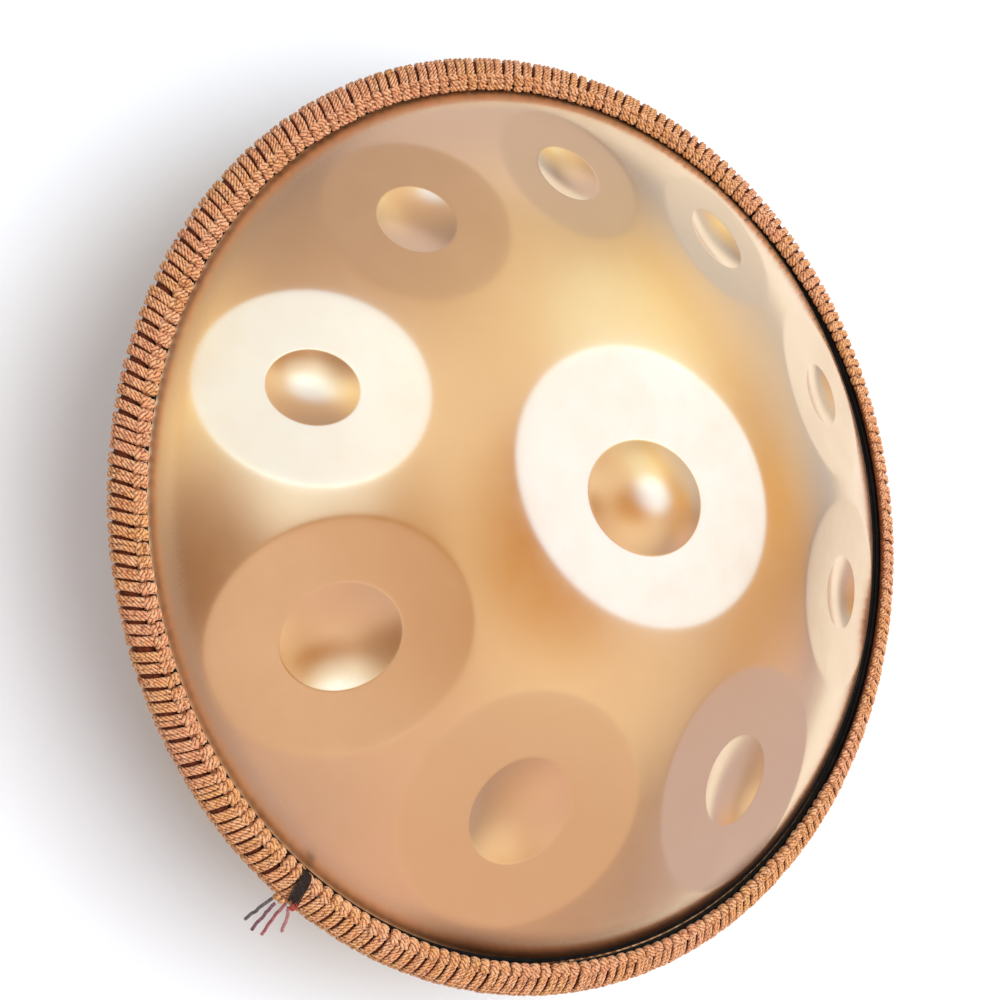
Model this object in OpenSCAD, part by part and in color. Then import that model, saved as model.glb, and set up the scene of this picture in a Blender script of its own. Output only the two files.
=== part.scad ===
/* [Shells] */
// Radius at which each dome runs out into its flat flange
dome_radius = 262; // [240:1:280]
// Width of the flat flange outside the dome
flange_width = 13; // [11:0.5:14]
// Height of the joint between the two flanges above the resting face
joint_height = 105; // [95:1:125]
// Fullness of both domes, where 2 is a parabola and more is flatter in the middle
dome_power = 2.5; // [2.2:0.1:2.8]
// Height by which both shoulders steepen and drop beside the flange
shoulder_drop = 3; // [0:0.5:4]
// Width of those shoulders
shoulder_width = 14; // [10:1:20]
// Thickness of the steel sheet of both shells
sheet = 1.2; // [1:0.1:1.3]
// Thickness of the glue line between the two flanges
glue_line = 0.3; // [0.2:0.05:0.5]

/* [Centre note] */
// Height of the flattened centre field above the flange joint
ding_field_height = 80; // [70:1:90]
// Radius of the flattened centre field
ding_field_radius = 84; // [70:1:90]
// Radius of the raised centre dome
ding_radius = 36; // [30:1:42]
// Height of the raised centre dome above its field
ding_rise = 8; // [5:0.5:10]

/* [Ring of notes] */
// Radius of the lowest note's flattened field
low_field_radius = 68; // [60:1:72]
// Radius of the lowest note's dimple
low_dimple_radius = 29.5; // [24:0.5:32]
// Size of each note against the next lower one
note_step = 0.95; // [0.94:0.005:0.97]
// Distance from the centre to the outer edge that the fields share
field_outer_radius = 250; // [245:1:255]
// Depth of a dimple as a share of its radius
dimple_depth_ratio = 0.18; // [0.1:0.01:0.25]

/* [Resting face and port] */
// Outer radius of the flat land that the instrument rests on
land_radius = 76; // [72:1:90]
// Radius of the bore of the port
port_radius = 50; // [45:0.5:55]
// Length of the straight wall of the port
port_length = 22; // [15:1:30]
// Radius of the rolled mouth of the port
mouth_radius = 8; // [6:0.5:10]

/* [Rope rim] */
// Greatest radius of the rope rim
rope_outer_radius = 282.5; // [281:0.5:284]
// Height of the rope rim's outer part, above and below the joint
rope_half_height = 7.4; // [6.5:0.1:8]
// Radius of the hitched ridge on each side of the flange
ridge_radius = 3.9; // [3.5:0.1:4.2]
// Radius of the filler cord inside each ridge
filler_radius = 1.8; // [1.5:0.1:2]
// Thickness of the rubber channel over the flange edge
channel_wall = 1.25; // [1:0.05:1.5]
// Thickness of the black whipping over the rope
whipping_thickness = 1.1; // [0.8:0.1:1.5]
// Thickness of each loose thread
thread_thickness = 2; // [1.5:0.1:2.4]

/* [Hidden] */

steel_gold = [0.80, 0.62, 0.36];
rope_copper = [0.74, 0.44, 0.24];

// Bearings of the ring notes, from the lowest note to the highest, on alternate sides
note_bearings = [328.5, 18.5, 283, 65, 243, 103.5, 207.5, 140.5, 174.5];

// Mean radius of the dome's curvature where the ring notes lie
field_curvature = 300;

flange_radius = dome_radius + flange_width;
flange_face = sheet + glue_line / 2;
upper_crown = (ding_field_height - shoulder_drop) / fall(ding_field_radius);
lower_crown = (joint_height - shoulder_drop) / fall(land_radius);

// Softness of the bend between a dome and its flange
bend = 1.6;
// Radius beyond which the flange is flat
bend_end = dome_radius + 4;
// Radius inside which the two shells stand apart
cavity_radius = dome_radius + 1;
// Steps along the meridian of a dome
dome_steps = 30;

channel_inner = flange_radius - 10.4;
channel_outer = flange_radius + 2;
channel_face = flange_face + channel_wall;
ridge_centre = [flange_radius - 6.8, channel_face + filler_radius + 0.4];
rope_centre = flange_radius - 2;
rope_half_width = rope_outer_radius - rope_centre;

// Bearings of the pieces at the rope's end, clockwise edge first
whipping_from = 307.6;
whipping_sweep = 1.8;
red_turn_sweep = 0.6;
knot_bearing = 307.5;
knot_drop = 1.4;
knot_radius = 3.4;

// Routes of the loose threads, from the rope outwards and down
slate_route = [[171.5, -226.5, 101.5], [172.5, -227.5, 99.5], [174, -229, 97], [175.5, -230, 93.5],
               [177, -230.5, 90], [179, -231, 86.5], [180.5, -232, 82], [182.5, -232.5, 78],
               [184.5, -232.5, 73]];
purple_route = [[174.5, -225.5, 101.5], [176, -227, 99.5], [178, -228, 97], [179.5, -228.5, 94],
                [182, -229, 90.5], [184, -229.5, 86.5], [186, -230, 82.5], [188.5, -230, 78],
                [191, -230, 73.5]];
rose_route = [[176.5, -219.5, 101], [178, -220.5, 99], [180, -221.5, 96.5], [182, -222.5, 93],
              [184.5, -223, 89.5], [187, -223.5, 85.5], [189.5, -224, 81.5], [192.5, -224, 77],
              [195.5, -224.5, 72]];
pink_route = [[178.5, -218.5, 101.5], [180.5, -218.5, 100], [182.5, -218, 98], [184.5, -217.5, 95.5],
              [186.5, -217, 92.5], [189, -216.5, 89], [191, -216, 85], [193.5, -215.5, 81],
              [196, -214.5, 77]];

$fn = 96;

// Share of a dome's crown that is left at radius r
function fall(r) = 1 - pow(r / dome_radius, dome_power);

// Height that the shoulder adds at radius r: all of it inside, none at the dome's edge
function shoulder(r) =
    let (into = max(0, r - dome_radius + shoulder_width) / shoulder_width)
    shoulder_drop * (1 - into * into);

// Height of a dome above the joint at radius r
function dome(r, crown) = crown * fall(r) + shoulder(r);

// Height of the outer skin above the joint, with the dome bent softly into the flange
function skin(r, crown) =
    let (rise = dome(r, crown) - flange_face)
    r >= bend_end ? flange_face : flange_face + (rise + sqrt(rise * rise + bend * bend)) / 2;

// Vertical thickness of the sheet at radius r, where the skin slopes
function upright(r, crown) =
    let (slope = skin(r + 0.5, crown) - skin(r - 0.5, crown))
    sheet * sqrt(1 + slope * slope);

// Radii of the meridian's points from radius a to radius b, closer together towards b
function meridian(a, b, steps) = [for (i = [0:steps]) a + (b - a) * sin(90 * i / steps)];

// Radius of the sphere that rises by h over a circle of radius r
function cap_sphere(r, h) = (r * r + h * h) / (2 * h);

// Height of the centre note's dome at radius r above its field
function ding_cap(r) =
    let (ball = cap_sphere(ding_radius, ding_rise))
    sqrt(ball * ball - r * r) - ball + ding_rise;

// Points of an arc about the centre c
function arc(c, r, from, to, steps = 8) =
    [for (i = [0:steps]) let (a = from + (to - from) * i / steps) c + r * [cos(a), sin(a)]];

// Solid below the upper skin sunk by the thickness t, with its dome note but no ring notes
module upper_form(t, foot_radius, foot) {
    cap = [for (i = [0:8]) let (r = (ding_radius + (t > 0 ? -t / 2 : 0)) * i / 8)
           [r, ding_field_height + ding_cap(r) - t]];
    edge = t > 0 ? cavity_radius : flange_radius;
    run = [for (r = meridian(ding_field_radius, dome_radius + 3, dome_steps))
           if (r <= edge) [r, skin(r, upper_crown) - (t > 0 ? upright(r, upper_crown) : 0)]];
    end = t > 0 ? [[edge, foot]] : [[bend_end, flange_face], [edge, flange_face], [edge, foot]];
    rotate_extrude()
        polygon(concat(cap, run, end, [[0, foot]]));
}

// Everything above a ring note's field and inside its dimple, sunk by t
module note_cut(rank, t) {
    field = low_field_radius * pow(note_step, rank);
    dimple = low_dimple_radius * pow(note_step, rank);
    depth = dimple * dimple_depth_ratio;
    ball = cap_sphere(dimple, depth);
    reach = field_outer_radius - 11.5 - 0.82 * field;
    slope = atan((skin(reach - 1, upper_crown) - skin(reach + 1, upper_crown)) / 2);
    sink = field * field / (2 * field_curvature) + t;
    rotate([0, 0, note_bearings[rank]])
        translate([reach, 0, skin(reach, upper_crown)])
            rotate([0, slope, 0])
                translate([0, 0, -sink]) {
                    cylinder(r = field * 1.15, h = 2 * sink + 10);
                    translate([0, 0, ball - depth])
                        sphere(r = ball + t, $fn = 160);
                }
}

module top_shell() {
    color(steel_gold)
        translate([0, 0, joint_height])
            difference() {
                difference() {
                    upper_form(0, flange_radius, glue_line / 2);
                    for (rank = [0:len(note_bearings) - 1])
                        note_cut(rank, 0);
                }
                difference() {
                    upper_form(sheet, cavity_radius, -1);
                    for (rank = [0:len(note_bearings) - 1])
                        note_cut(rank, sheet);
                }
            }
}

module bottom_shell() {
    radii = meridian(land_radius, dome_radius + 1, dome_steps);
    outer_run = [for (r = radii) [r, -min(joint_height, skin(r, lower_crown))]];
    inner_run = [for (r = radii) [r, upright(r, lower_crown) - skin(r, lower_crown)]];
    mouth = [port_radius + mouth_radius, mouth_radius - joint_height];
    top = mouth.y + port_length;
    outline = concat(
        [[flange_radius, -flange_face], [bend_end, -flange_face]],
        [for (i = [len(outer_run) - 1:-1:0]) outer_run[i]],
        arc(mouth, mouth_radius, 270, 180),
        [[port_radius, top], [port_radius + sheet, top]],
        arc(mouth, mouth_radius - sheet, 180, 270),
        inner_run,
        [[cavity_radius, -glue_line / 2], [flange_radius, -glue_line / 2]]);
    color(steel_gold)
        translate([0, 0, joint_height])
            rotate_extrude()
                polygon(outline);
}

// Ring about the axis with the section drawn at the joint's height
module ring() {
    translate([0, 0, joint_height])
        rotate_extrude()
            children();
}

// Part of such a ring between two bearings
module ring_part(from, sweep) {
    translate([0, 0, joint_height])
        rotate([0, 0, from])
            rotate_extrude(angle = sweep)
                children();
}

module rim_adhesive() {
    color([0.82, 0.80, 0.72])
        ring()
            translate([cavity_radius, -glue_line / 2])
                square([flange_width - 1.2, glue_line]);
}

module edge_channel() {
    color([0.07, 0.07, 0.07])
        ring()
            difference() {
                translate([channel_inner, -channel_face])
                    square([channel_outer - channel_inner, 2 * channel_face]);
                translate([channel_inner - 1, -flange_face])
                    square([flange_radius - channel_inner + 1, 2 * flange_face]);
            }
}

// Circle on the ridge's centre, above the joint for side 1 and below it for side -1
module ridge_disc(side, r) {
    translate([ridge_centre.x, side * ridge_centre.y])
        circle(r = r);
}

module filler_cord(side) {
    color(rope_copper)
        ring()
            ridge_disc(side, filler_radius);
}

module upper_filler_cord() {
    filler_cord(1);
}

module lower_filler_cord() {
    filler_cord(-1);
}

module hitch_row(side) {
    color(rope_copper)
        ring()
            difference() {
                ridge_disc(side, ridge_radius);
                ridge_disc(side, filler_radius);
                translate([channel_inner - 20, -channel_face])
                    square([40, 2 * channel_face]);
            }
}

module upper_hitch_row() {
    hitch_row(1);
}

module lower_hitch_row() {
    hitch_row(-1);
}

// Oval section of the rope's outer part, grown by t
module rope_oval(t) {
    polygon([for (i = [0:47]) [rope_centre + (rope_half_width + t) * cos(i * 7.5),
                               (rope_half_height + t) * sin(i * 7.5)]]);
}

// What the lacing leaves free: the ridges, the channel and all inside them
module inside_of_lacing() {
    for (side = [-1, 1])
        ridge_disc(side, ridge_radius);
    translate([ridge_centre.x - 20, -20])
        square([22, 40]);
    translate([channel_inner, -channel_face])
        square([channel_outer - channel_inner, 2 * channel_face]);
}

module edge_lacing() {
    color(rope_copper)
        ring()
            difference() {
                rope_oval(0);
                inside_of_lacing();
            }
}

module cord_end_knot() {
    color(rope_copper)
        rotate([0, 0, knot_bearing])
            translate([rope_outer_radius, 0, joint_height - knot_drop])
                rotate([0, 90, 0])
                    difference() {
                        sphere(r = knot_radius);
                        translate([-5, -5, -10])
                            cube([10, 10, 10]);
                    }
}

// Section of a band of thickness t lying over the ridge and the rope's outer part
module whipping_section(t) {
    difference() {
        union() {
            ridge_disc(1, ridge_radius + t);
            rope_oval(t);
        }
        ridge_disc(1, ridge_radius);
        rope_oval(0);
        translate([rope_centre - 30, -30])
            square([30, 30 + channel_face]);
        translate([rope_centre, -30])
            square([30, 30]);
    }
}

// Section of a band on the rope's outside, between two heights
module outer_turn_section(t, low, high) {
    difference() {
        rope_oval(t);
        rope_oval(0);
        translate([rope_centre - 30, -30])
            square([30, 60]);
        translate([rope_centre, -30])
            square([30, 30 + low]);
        translate([rope_centre, high])
            square([30, 30]);
    }
}

module black_whipping() {
    color([0.06, 0.05, 0.05])
        ring_part(whipping_from, whipping_sweep)
            whipping_section(whipping_thickness);
}

module red_thread_turn() {
    color([0.75, 0.12, 0.08])
        ring_part(whipping_from + whipping_sweep, red_turn_sweep)
            outer_turn_section(whipping_thickness, -3, 3.5);
}

// Unit vector along a route at its point i
function along(route, i) =
    let (step = route[min(i + 1, len(route) - 1)] - route[max(i - 1, 0)])
    step / norm(step);

// Ring of points about a route's point, square to the route
function thread_ring(route, i, r, sides) =
    let (ahead = along(route, i),
         across = cross([0, 0, 1], ahead) / norm(cross([0, 0, 1], ahead)),
         up = cross(ahead, across))
    [for (k = [0:sides - 1]) route[i] + r * (cos(360 * k / sides) * across
                                             + sin(360 * k / sides) * up)];

// Thread of round section swept along a route
module thread(route) {
    sides = 8;
    last = len(route) - 1;
    points = [for (i = [0:last]) each thread_ring(route, i, thread_thickness / 2, sides)];
    start = [[for (k = [sides - 1:-1:0]) k]];
    finish = [[for (k = [0:sides - 1]) last * sides + k]];
    walls = [for (i = [0:last - 1], k = [0:sides - 1])
             let (a = i * sides + k, b = i * sides + (k + 1) % sides)
             [a, b, b + sides, a + sides]];
    polyhedron(points = points, faces = concat(start, finish, walls), convexity = 4);
}

module slate_thread_tail() {
    color([0.36, 0.34, 0.36])
        thread(slate_route);
}

module purple_thread_tail() {
    color([0.44, 0.28, 0.34])
        thread(purple_route);
}

module rose_thread_tail() {
    color([0.68, 0.30, 0.34])
        thread(rose_route);
}

module pink_thread_tail() {
    color([0.74, 0.42, 0.44])
        thread(pink_route);
}

top_shell();
bottom_shell();
rim_adhesive();
edge_channel();
upper_filler_cord();
lower_filler_cord();
upper_hitch_row();
lower_hitch_row();
edge_lacing();
cord_end_knot();
black_whipping();
red_thread_turn();
slate_thread_tail();
purple_thread_tail();
rose_thread_tail();
pink_thread_tail();
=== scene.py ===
"""Looks of a handpan: satin gold steel shells, a hitched copper cord round the rim, and its bound end."""
import math

import bpy
import numpy as np
from mathutils import Matrix, Vector
from mathutils.geometry import delaunay_2d_cdt


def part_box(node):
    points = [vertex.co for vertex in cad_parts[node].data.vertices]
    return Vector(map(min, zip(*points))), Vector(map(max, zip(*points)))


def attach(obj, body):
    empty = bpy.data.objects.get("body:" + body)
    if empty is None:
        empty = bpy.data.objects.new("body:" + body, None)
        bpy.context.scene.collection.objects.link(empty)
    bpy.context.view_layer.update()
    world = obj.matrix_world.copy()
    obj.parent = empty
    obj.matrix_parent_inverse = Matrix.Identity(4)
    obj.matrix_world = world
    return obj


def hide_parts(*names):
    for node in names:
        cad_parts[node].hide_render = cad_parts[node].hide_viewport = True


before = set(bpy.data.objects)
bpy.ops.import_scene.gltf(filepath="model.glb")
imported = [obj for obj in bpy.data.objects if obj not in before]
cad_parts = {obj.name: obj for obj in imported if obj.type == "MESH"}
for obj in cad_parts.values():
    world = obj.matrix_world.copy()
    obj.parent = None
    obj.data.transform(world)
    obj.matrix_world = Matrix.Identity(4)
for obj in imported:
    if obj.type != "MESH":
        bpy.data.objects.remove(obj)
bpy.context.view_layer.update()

MM = 0.001
TURN = 2 * math.pi

# ---------------------------------------------------------------- sizes, from the frame
shell_low, shell_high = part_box("top_shell")
_, lower_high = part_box("bottom_shell")
rope_low, rope_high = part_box("edge_lacing")

GLUE_LINE = shell_low.z - lower_high.z
JOINT = Vector((0, 0, (shell_low.z + lower_high.z) / 2))
FLANGE_RADIUS = shell_high.x
FLANGE_WIDTH = 13 * MM
DOME_RADIUS = FLANGE_RADIUS - FLANGE_WIDTH
SHEET = 1.2 * MM
FLANGE_FACE = SHEET + GLUE_LINE / 2
CAVITY_RADIUS = DOME_RADIUS + 1 * MM
BEND = 1.6 * MM
BEND_END = DOME_RADIUS + 4 * MM
DOME_POWER = 2.5
FIELD_HEIGHT = 80 * MM
FIELD_RADIUS = 84 * MM
LAND_INNER = 58 * MM
LAND_RADIUS = 76 * MM
PORT_RADIUS = 50 * MM
PORT_LENGTH = 22 * MM
MOUTH_RADIUS = LAND_INNER - PORT_RADIUS
SHOULDER_DROP = 3 * MM
SHOULDER_WIDTH = 14 * MM
UPPER_CROWN = (FIELD_HEIGHT - SHOULDER_DROP) / (1 - (FIELD_RADIUS / DOME_RADIUS) ** DOME_POWER)
LOWER_CROWN = (JOINT.z - SHOULDER_DROP) / (1 - (LAND_RADIUS / DOME_RADIUS) ** DOME_POWER)

ROPE_RADIUS = rope_high.x
ROPE_CENTRE = FLANGE_RADIUS - 2 * MM
ROPE_WIDE = ROPE_RADIUS - ROPE_CENTRE
ROPE_HIGH = (rope_high.z - rope_low.z) / 2
RIDGE = Vector((FLANGE_RADIUS - 6.8 * MM, 4.8 * MM))
RIDGE_RADIUS = 3.9 * MM


# ---------------------------------------------------------------- camera
CAMERA_PLACE = Vector((0, -0.5311, 0.8500))
CAMERA_AIM = JOINT + Vector((-0.0143, -0.0437, 0))
CAMERA_ROLL = math.radians(10.3)
LENS = 54.2
SENSOR = 36


def make_camera():
    """A camera above the near rim, turned so that the rim's near side lies at the left."""
    ahead = (CAMERA_AIM - CAMERA_PLACE).normalized()
    head = Vector((-1, 0, 0))
    head = (head - head.dot(ahead) * ahead).normalized()
    side = ahead.cross(head)
    right = side * math.cos(CAMERA_ROLL) - head * math.sin(CAMERA_ROLL)
    up = head * math.cos(CAMERA_ROLL) + side * math.sin(CAMERA_ROLL)
    data = bpy.data.cameras.new("photo_camera")
    data.sensor_width = SENSOR
    data.lens = LENS
    camera = bpy.data.objects.new("photo_camera", data)
    turn = Matrix((right, up, -ahead)).transposed().to_4x4()
    camera.matrix_world = Matrix.Translation(CAMERA_PLACE) @ turn
    bpy.context.scene.collection.objects.link(camera)
    bpy.context.scene.camera = camera


make_camera()


# ---------------------------------------------------------------- mesh helpers
def new_piece(name, points, faces, materials, face_materials=None):
    """A smooth-shaded mesh object in the scene's collection, from points in metres."""
    mesh = bpy.data.meshes.new(name)
    mesh.from_pydata([tuple(p) for p in points], [], [tuple(f) for f in faces])
    for material in materials:
        mesh.materials.append(material)
    if face_materials is not None:
        mesh.polygons.foreach_set("material_index", face_materials)
    mesh.polygons.foreach_set("use_smooth", [True] * len(mesh.polygons))
    mesh.update()
    piece = bpy.data.objects.new(name, mesh)
    bpy.context.scene.collection.objects.link(piece)
    return piece


def settle(piece, slot, *nodes):
    """The piece rides on the one body and stands for its CAD nodes, which are hidden; slot is not used."""
    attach(piece, "root")
    if nodes:
        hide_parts(*nodes)
    return piece


def curve_through(points, steps):
    """Points of a smooth curve through the given ones, as an array."""
    p = np.array(points, float)
    p = np.vstack([2 * p[0] - p[1], p, 2 * p[-1] - p[-2]])
    out = []
    for i in range(1, len(p) - 2):
        for t in np.arange(steps) / steps:
            out.append(0.5 * (2 * p[i] + (p[i + 1] - p[i - 1]) * t
                              + (2 * p[i - 1] - 5 * p[i] + 4 * p[i + 1] - p[i + 2]) * t ** 2
                              + (3 * p[i] - p[i - 1] - 3 * p[i + 1] + p[i + 2]) * t ** 3))
    out.append(p[-2])
    return np.array(out)


class Strands:
    """Many twisted yarns gathered into one mesh, with a UV map and a tint for each yarn."""

    SIDES = 12
    PLIES = 3
    END_POWER = 2.4

    def __init__(self):
        self.points, self.faces, self.uvs, self.tints = [], [], [], []
        self.count = 0

    def add(self, path, outward, wide, high, tint, lay=9 * MM, groove=0.13, round_ends=0.0):
        """One yarn along the path: outward is the surface's normal there, wide and high its half sizes."""
        path = np.asarray(path, float)
        ahead = np.gradient(path, axis=0)
        ahead /= np.linalg.norm(ahead, axis=1, keepdims=True)
        up = outward - (outward * ahead).sum(1, keepdims=True) * ahead
        up /= np.linalg.norm(up, axis=1, keepdims=True)
        side = np.cross(ahead, up)
        steps = np.concatenate([[0], np.cumsum(np.linalg.norm(np.diff(path, axis=0), axis=1))])
        size = np.ones(len(path))
        if round_ends > 0:
            near = np.clip(np.minimum(steps, steps[-1] - steps) / round_ends, 0.02, 1)
            size = (1 - (1 - near) ** self.END_POWER) ** (1 / self.END_POWER)
        ring = np.arange(self.SIDES)
        ply = np.where(ring % (self.SIDES // self.PLIES) == 2, 1 - groove, 1.0)
        angle = TURN * ring / self.SIDES + (TURN * steps / lay)[:, None]
        reach = ply * size[:, None]
        wall = (path[:, None]
                + up[:, None] * (high * reach * np.cos(angle))[..., None]
                + side[:, None] * (wide * reach * np.sin(angle))[..., None])
        rows, base = len(path), self.count
        self.points += [wall.reshape(-1, 3), path[:1], path[-1:]]
        self.count += rows * self.SIDES + 2
        start, end = base + rows * self.SIDES, base + rows * self.SIDES + 1
        i, j = np.meshgrid(np.arange(rows - 1), ring, indexing="ij")
        a = base + i * self.SIDES + j
        b = base + i * self.SIDES + (j + 1) % self.SIDES
        c, d = b + self.SIDES, a + self.SIDES
        walls = np.stack([a, d, c, b], -1).reshape(-1, 4)
        s0, s1 = (steps[i] / MM).ravel(), (steps[i + 1] / MM).ravel()
        v0, v1 = (j / self.SIDES).ravel(), ((j + 1) / self.SIDES).ravel()
        self.faces += walls.tolist()
        self.uvs += np.stack([s0, v0, s1, v0, s1, v1, s0, v1], -1).ravel().tolist()
        for k in ring:
            n = (k + 1) % self.SIDES
            last = base + (rows - 1) * self.SIDES
            self.faces += [[start, base + k, base + n], [end, last + n, last + k]]
            self.uvs += [0, 0, 0, 0.1, 0.1, 0.1] * 2
        self.tints += [tint] * (rows * self.SIDES + 2)

    def piece(self, name, materials, extra=None):
        """The gathered mesh; extra is (points, faces) of a plain backing that takes the second material."""
        points = np.vstack(self.points)
        faces = list(self.faces)
        uvs, tints = list(self.uvs), list(self.tints)
        marks = [0] * len(faces)
        if extra is not None:
            more, quads = extra
            faces += [[k + len(points) for k in q] for q in quads]
            points = np.vstack([points, more])
            marks += [1] * len(quads)
            uvs += [0.0] * (2 * sum(len(q) for q in quads))
            tints += [0.5] * len(more)
        made = new_piece(name, points, faces, materials, marks)
        made.data.uv_layers.new(name="UVMap").data.foreach_set("uv", uvs)
        made.data.attributes.new("tint", "FLOAT", "POINT").data.foreach_set("value", tints)
        return made


# ---------------------------------------------------------------- node helpers
class Graph:
    """A small wrapper that adds and links shader nodes."""

    def __init__(self, tree):
        self.tree = tree
        tree.nodes.clear()

    def add(self, kind, inputs=None, **settings):
        node = self.tree.nodes.new(kind)
        for key, value in settings.items():
            setattr(node, key, value)
        for key, value in (inputs or {}).items():
            if isinstance(value, bpy.types.NodeSocket):
                self.tree.links.new(value, node.inputs[key])
            else:
                node.inputs[key].default_value = value
        return node

    def math(self, operation, a, b=0.0):
        return self.add("ShaderNodeMath", {0: a, 1: b}, operation=operation).outputs[0]

    def vector(self, operation, a, b=(0, 0, 0)):
        node = self.add("ShaderNodeVectorMath", {0: a, 1: b}, operation=operation)
        return node.outputs["Value" if operation == "DOT_PRODUCT" else "Vector"]

    def scale(self, vector, factor):
        return self.add("ShaderNodeVectorMath", {0: vector, "Scale": factor}, operation="SCALE").outputs[0]

    def spread(self, value, low, high, to_low=0.0, to_high=1.0, smooth=True):
        """The value moved from one range to another and clamped."""
        kind = "SMOOTHSTEP" if smooth else "LINEAR"
        return self.add("ShaderNodeMapRange", {"Value": value, "From Min": low, "From Max": high,
                                               "To Min": to_low, "To Max": to_high},
                        interpolation_type=kind).outputs[0]

    def noise(self, vector, scale, detail=2.0, roughness=0.5):
        return self.add("ShaderNodeTexNoise", {"Vector": vector, "Scale": scale, "Detail": detail,
                                               "Roughness": roughness}).outputs[0]

    def mix(self, factor, a, b, blend="MIX"):
        node = self.add("ShaderNodeMix", {0: factor, 6: a, 7: b}, data_type="RGBA", blend_type=blend)
        return node.outputs[2]

    def bump(self, height, strength, distance, normal=None):
        inputs = {"Height": height, "Strength": strength, "Distance": distance}
        if normal is not None:
            inputs["Normal"] = normal
        return self.add("ShaderNodeBump", inputs).outputs[0]


def rgb(r, g, b):
    return (r, g, b, 1.0)


def direction(bearing, elevation):
    b, e = math.radians(bearing), math.radians(elevation)
    return (math.cos(e) * math.cos(b), math.cos(e) * math.sin(b), math.sin(e))


def make_material(name, build, **fixed):
    """A material whose build function returns the sockets to link; fixed values go on the shader itself."""
    material = bpy.data.materials.new(name)
    material.use_nodes = True
    g = Graph(material.node_tree)
    shader = g.add("ShaderNodeBsdfPrincipled", fixed)
    for key, socket in build(g).items():
        g.tree.links.new(socket, shader.inputs[key])
    out = g.add("ShaderNodeOutputMaterial")
    g.tree.links.new(shader.outputs[0], out.inputs[0])
    return material


# ---------------------------------------------------------------- materials
DULL_WIDTH = 16 * MM
DULL_ROUGHNESS = 0.22
# Where and how strongly one side of the shoulder is painted dark brown as shade
PAINTED_SHADE_WIDTH = 20 * MM
PAINTED_SHADE_BEARING = 10
PAINTED_SHADE_FULL_ANGLE = 36
PAINTED_SHADE_OUTER_ANGLE = 52
PAINTED_SHADE_STRENGTH = 0.82


def steel_look(g):
    """Satin, gold-tinted steel: a fine even grain, faint hammer waves, drifting tint, handling marks.

    The shoulder is duller where the bend was worked, and one side of it is painted dark brown, a painted
    shade that stands in for a dark reflection there.
    """
    place = g.add("ShaderNodeTexCoord").outputs["Object"]
    drift = g.spread(g.noise(place, 5, 2), 0.35, 0.65)
    warm = g.mix(drift, rgb(0.86, 0.64, 0.39), rgb(0.83, 0.60, 0.36))
    mottle = g.spread(g.noise(place, 60, 4, 0.6), 0.3, 0.7)
    colour = g.mix(g.math("MULTIPLY", mottle, 0.10), warm, rgb(0.92, 0.72, 0.50))
    smudge = g.spread(g.noise(place, 24, 5, 0.62), 0.35, 0.72)
    grain = g.noise(place, 1400, 2)
    rough = g.math("ADD", g.spread(grain, 0.3, 0.7, 0.185, 0.215), g.math("MULTIPLY", smudge, 0.05))
    plan = g.vector("MULTIPLY", place, (1, 1, 0))
    reach = g.add("ShaderNodeVectorMath", {0: plan}, operation="LENGTH").outputs["Value"]
    on_dome = g.spread(reach, DOME_RADIUS + 0.2 * MM, DOME_RADIUS + 0.7 * MM, 1.0, 0.0)
    towards = g.vector("DOT_PRODUCT", g.vector("NORMALIZE", plan), direction(PAINTED_SHADE_BEARING, 0))
    # Painted shade: towards one bearing the shoulder's colour turns dark brown, in place of a dark
    # reflection
    painted_shade = g.math("MULTIPLY", g.spread(reach, DOME_RADIUS - PAINTED_SHADE_WIDTH, DOME_RADIUS - 3 * MM),
                    g.spread(towards, math.cos(math.radians(PAINTED_SHADE_OUTER_ANGLE)),
                             math.cos(math.radians(PAINTED_SHADE_FULL_ANGLE))))
    painted_shade = g.math("MULTIPLY", painted_shade, on_dome)
    colour = g.mix(g.math("MULTIPLY", painted_shade, PAINTED_SHADE_STRENGTH), colour, rgb(0.13, 0.06, 0.03))
    shoulder = g.spread(reach, DOME_RADIUS - DULL_WIDTH, DOME_RADIUS, 0.0, DULL_ROUGHNESS)
    rough = g.math("ADD", rough, g.math("MULTIPLY", on_dome, shoulder))
    waves = g.bump(g.noise(place, 16, 1), 1.0, 0.08 * MM)
    return {"Base Color": colour, "Roughness": rough, "Normal": waves}


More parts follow.
